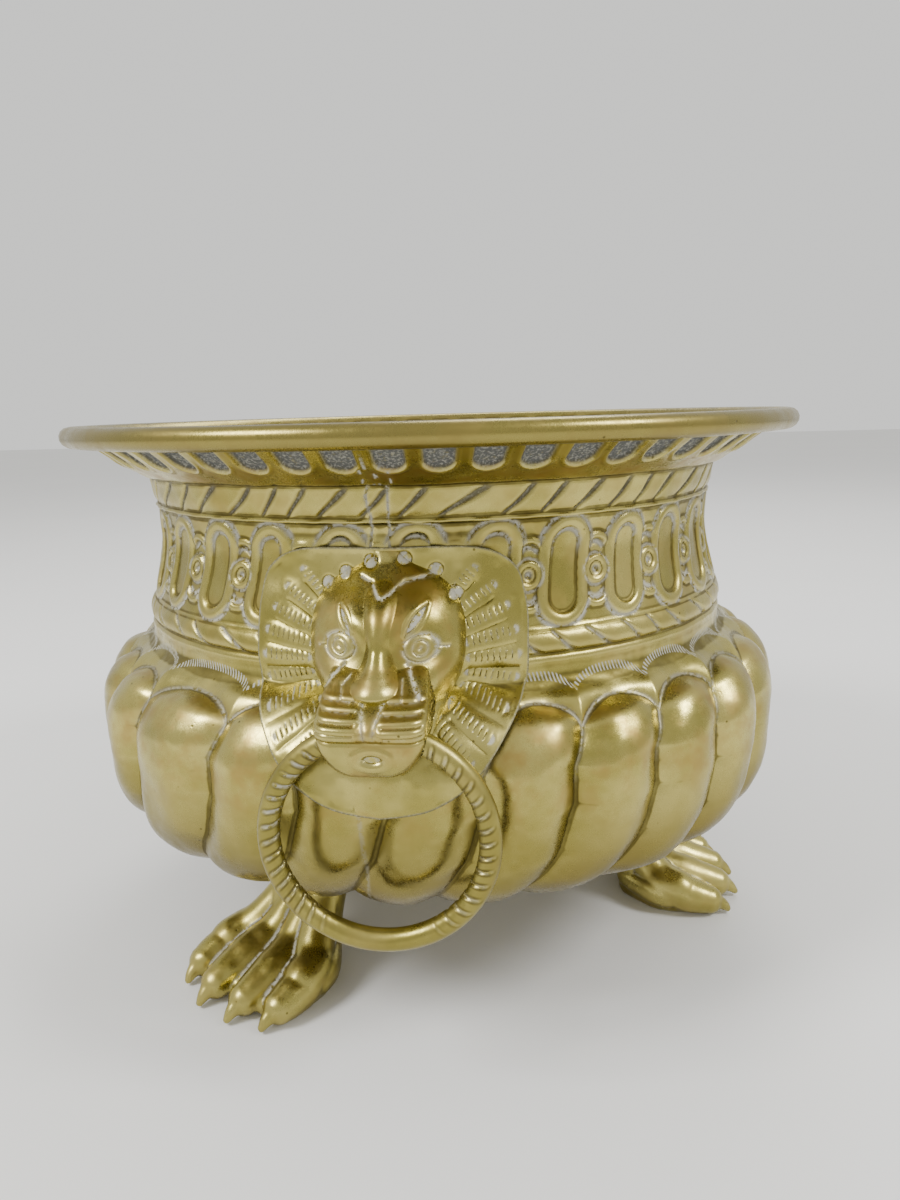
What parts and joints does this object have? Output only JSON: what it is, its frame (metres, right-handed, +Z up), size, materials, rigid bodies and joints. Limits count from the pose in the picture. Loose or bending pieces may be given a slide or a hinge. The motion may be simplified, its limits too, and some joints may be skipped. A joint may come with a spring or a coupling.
{
  "type": "brass planter pot",
  "caption": "Round gadrooned brass jardiniere with a rolled rim, lion masks holding swinging ring handles, and three paw feet.",
  "frame": {"origin": "on the pot's axis, on the surface that the paw feet stand on", "axes": "+Z up along the pot's axis; the lion masks face -Y and +Y; the rings swing about lines parallel to X"},
  "size_m": [0.3599, 0.381, 0.2605],
  "materials": {
    "wall_brass": "aged hammered sheet, olive yellow with brown patina",
    "pan_brass": "dull aged sheet",
    "iron_wire": "dark drawn wire",
    "mask_brass": "chased sheet with grey polish residue in the strokes",
    "ring_brass": "worn satin bar with rope notches",
    "foot_brass": "worn casting, bright on the toes, grey between them",
    "rivet_brass": "hammered rivet"
  },
  "bodies": {
    "pot": {"body_wall": "wall_brass", "base_pan": "pan_brass", "rim_wire": "iron_wire", "mask_front": "mask_brass", "mask_back": "mask_brass", "foot_right": "foot_brass", "foot_rear": "foot_brass", "foot_front": "foot_brass", "foot_rivets": "rivet_brass"},
    "front_handle": {"ring_front": "ring_brass"},
    "back_handle": {"ring_back": "ring_brass"}
  },
  "joints": [
    {"name": "ring_front_swing", "type": "hinge", "parent": "pot", "child": "front_handle", "pos_m": [0, -0.181, 0.1506], "axis": [-1, 0, 0], "range_deg": [-4, 135]},
    {"name": "ring_back_swing", "type": "hinge", "parent": "pot", "child": "back_handle", "pos_m": [0, 0.181, 0.1506], "axis": [1, 0, 0], "range_deg": [-4, 135]}
  ]
}
